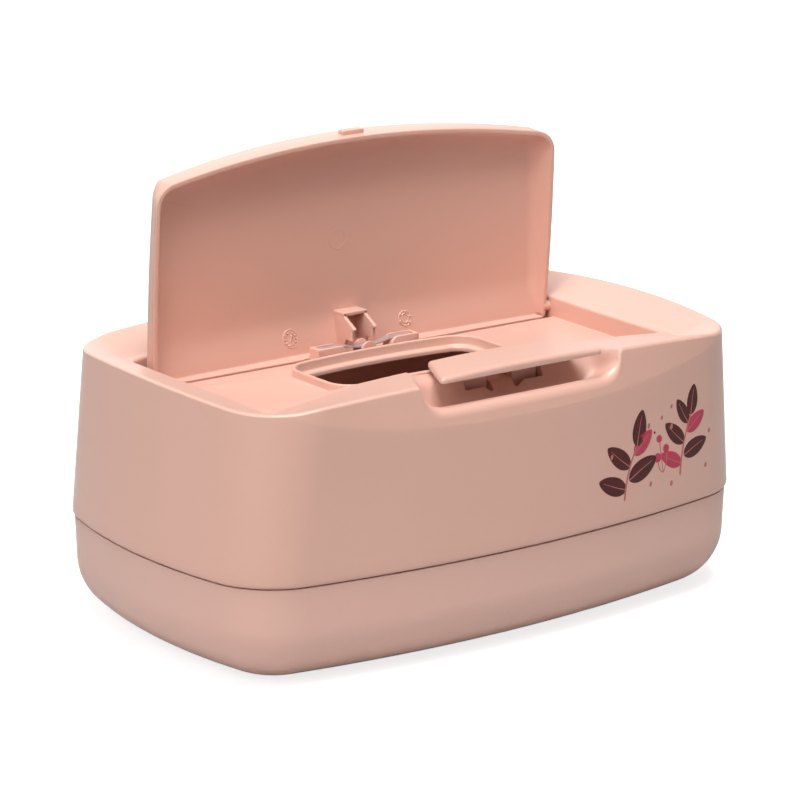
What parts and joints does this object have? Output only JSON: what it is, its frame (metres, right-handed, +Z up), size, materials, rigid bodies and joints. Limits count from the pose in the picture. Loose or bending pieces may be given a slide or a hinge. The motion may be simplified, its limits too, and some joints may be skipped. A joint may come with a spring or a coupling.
{
  "type": "baby wipes box",
  "caption": "Rounded plastic box that dispenses baby wipes through a collared slot, with a spring-open lid, a release button over a finger scoop and a lift-off housing.",
  "frame": {"origin": "on the ground under the middle of the body", "axes": "+X along the length to the right, the front with the button is -Y, +Z up"},
  "size_m": [0.2196, 0.1411, 0.1579],
  "materials": {
    "tray_plastic": "fine matt moulded plastic, salmon pink",
    "housing_plastic": "fine matt moulded plastic, salmon pink",
    "spring_steel": "bright spring steel",
    "soft_feet": "soft matt rubber"
  },
  "bodies": {
    "tray": {"base_tray": "tray_plastic", "foot_1": "soft_feet", "foot_2": "soft_feet", "foot_3": "soft_feet", "foot_4": "soft_feet"},
    "upper": {"housing": "housing_plastic", "leaf_spring": "spring_steel", "button_pin": "spring_steel", "button_spring": "spring_steel"},
    "lid_body": {"lid": "housing_plastic"},
    "button": {"release_button": "housing_plastic"}
  },
  "joints": [
    {"name": "housing_lift", "type": "slide", "parent": "tray", "child": "upper", "axis": [0, 0, 1], "range_m": [0, 0.045]},
    {"name": "lid_hinge", "type": "hinge", "parent": "upper", "child": "lid_body", "pos_m": [0, 0.0288, 0.0843], "axis": [1, 0, 0], "range_deg": [0, 87], "stiffness_Nm_per_rad": 0.02, "springref_deg": -22.92, "deforming": ["leaf_spring"]},
    {"name": "button_tilt", "type": "hinge", "parent": "upper", "child": "button", "pos_m": [0, -0.0506, 0.0776], "axis": [1, 0, 0], "range_deg": [0, 8], "stiffness_Nm_per_rad": 0.05, "springref_deg": -5.73}
  ]
}
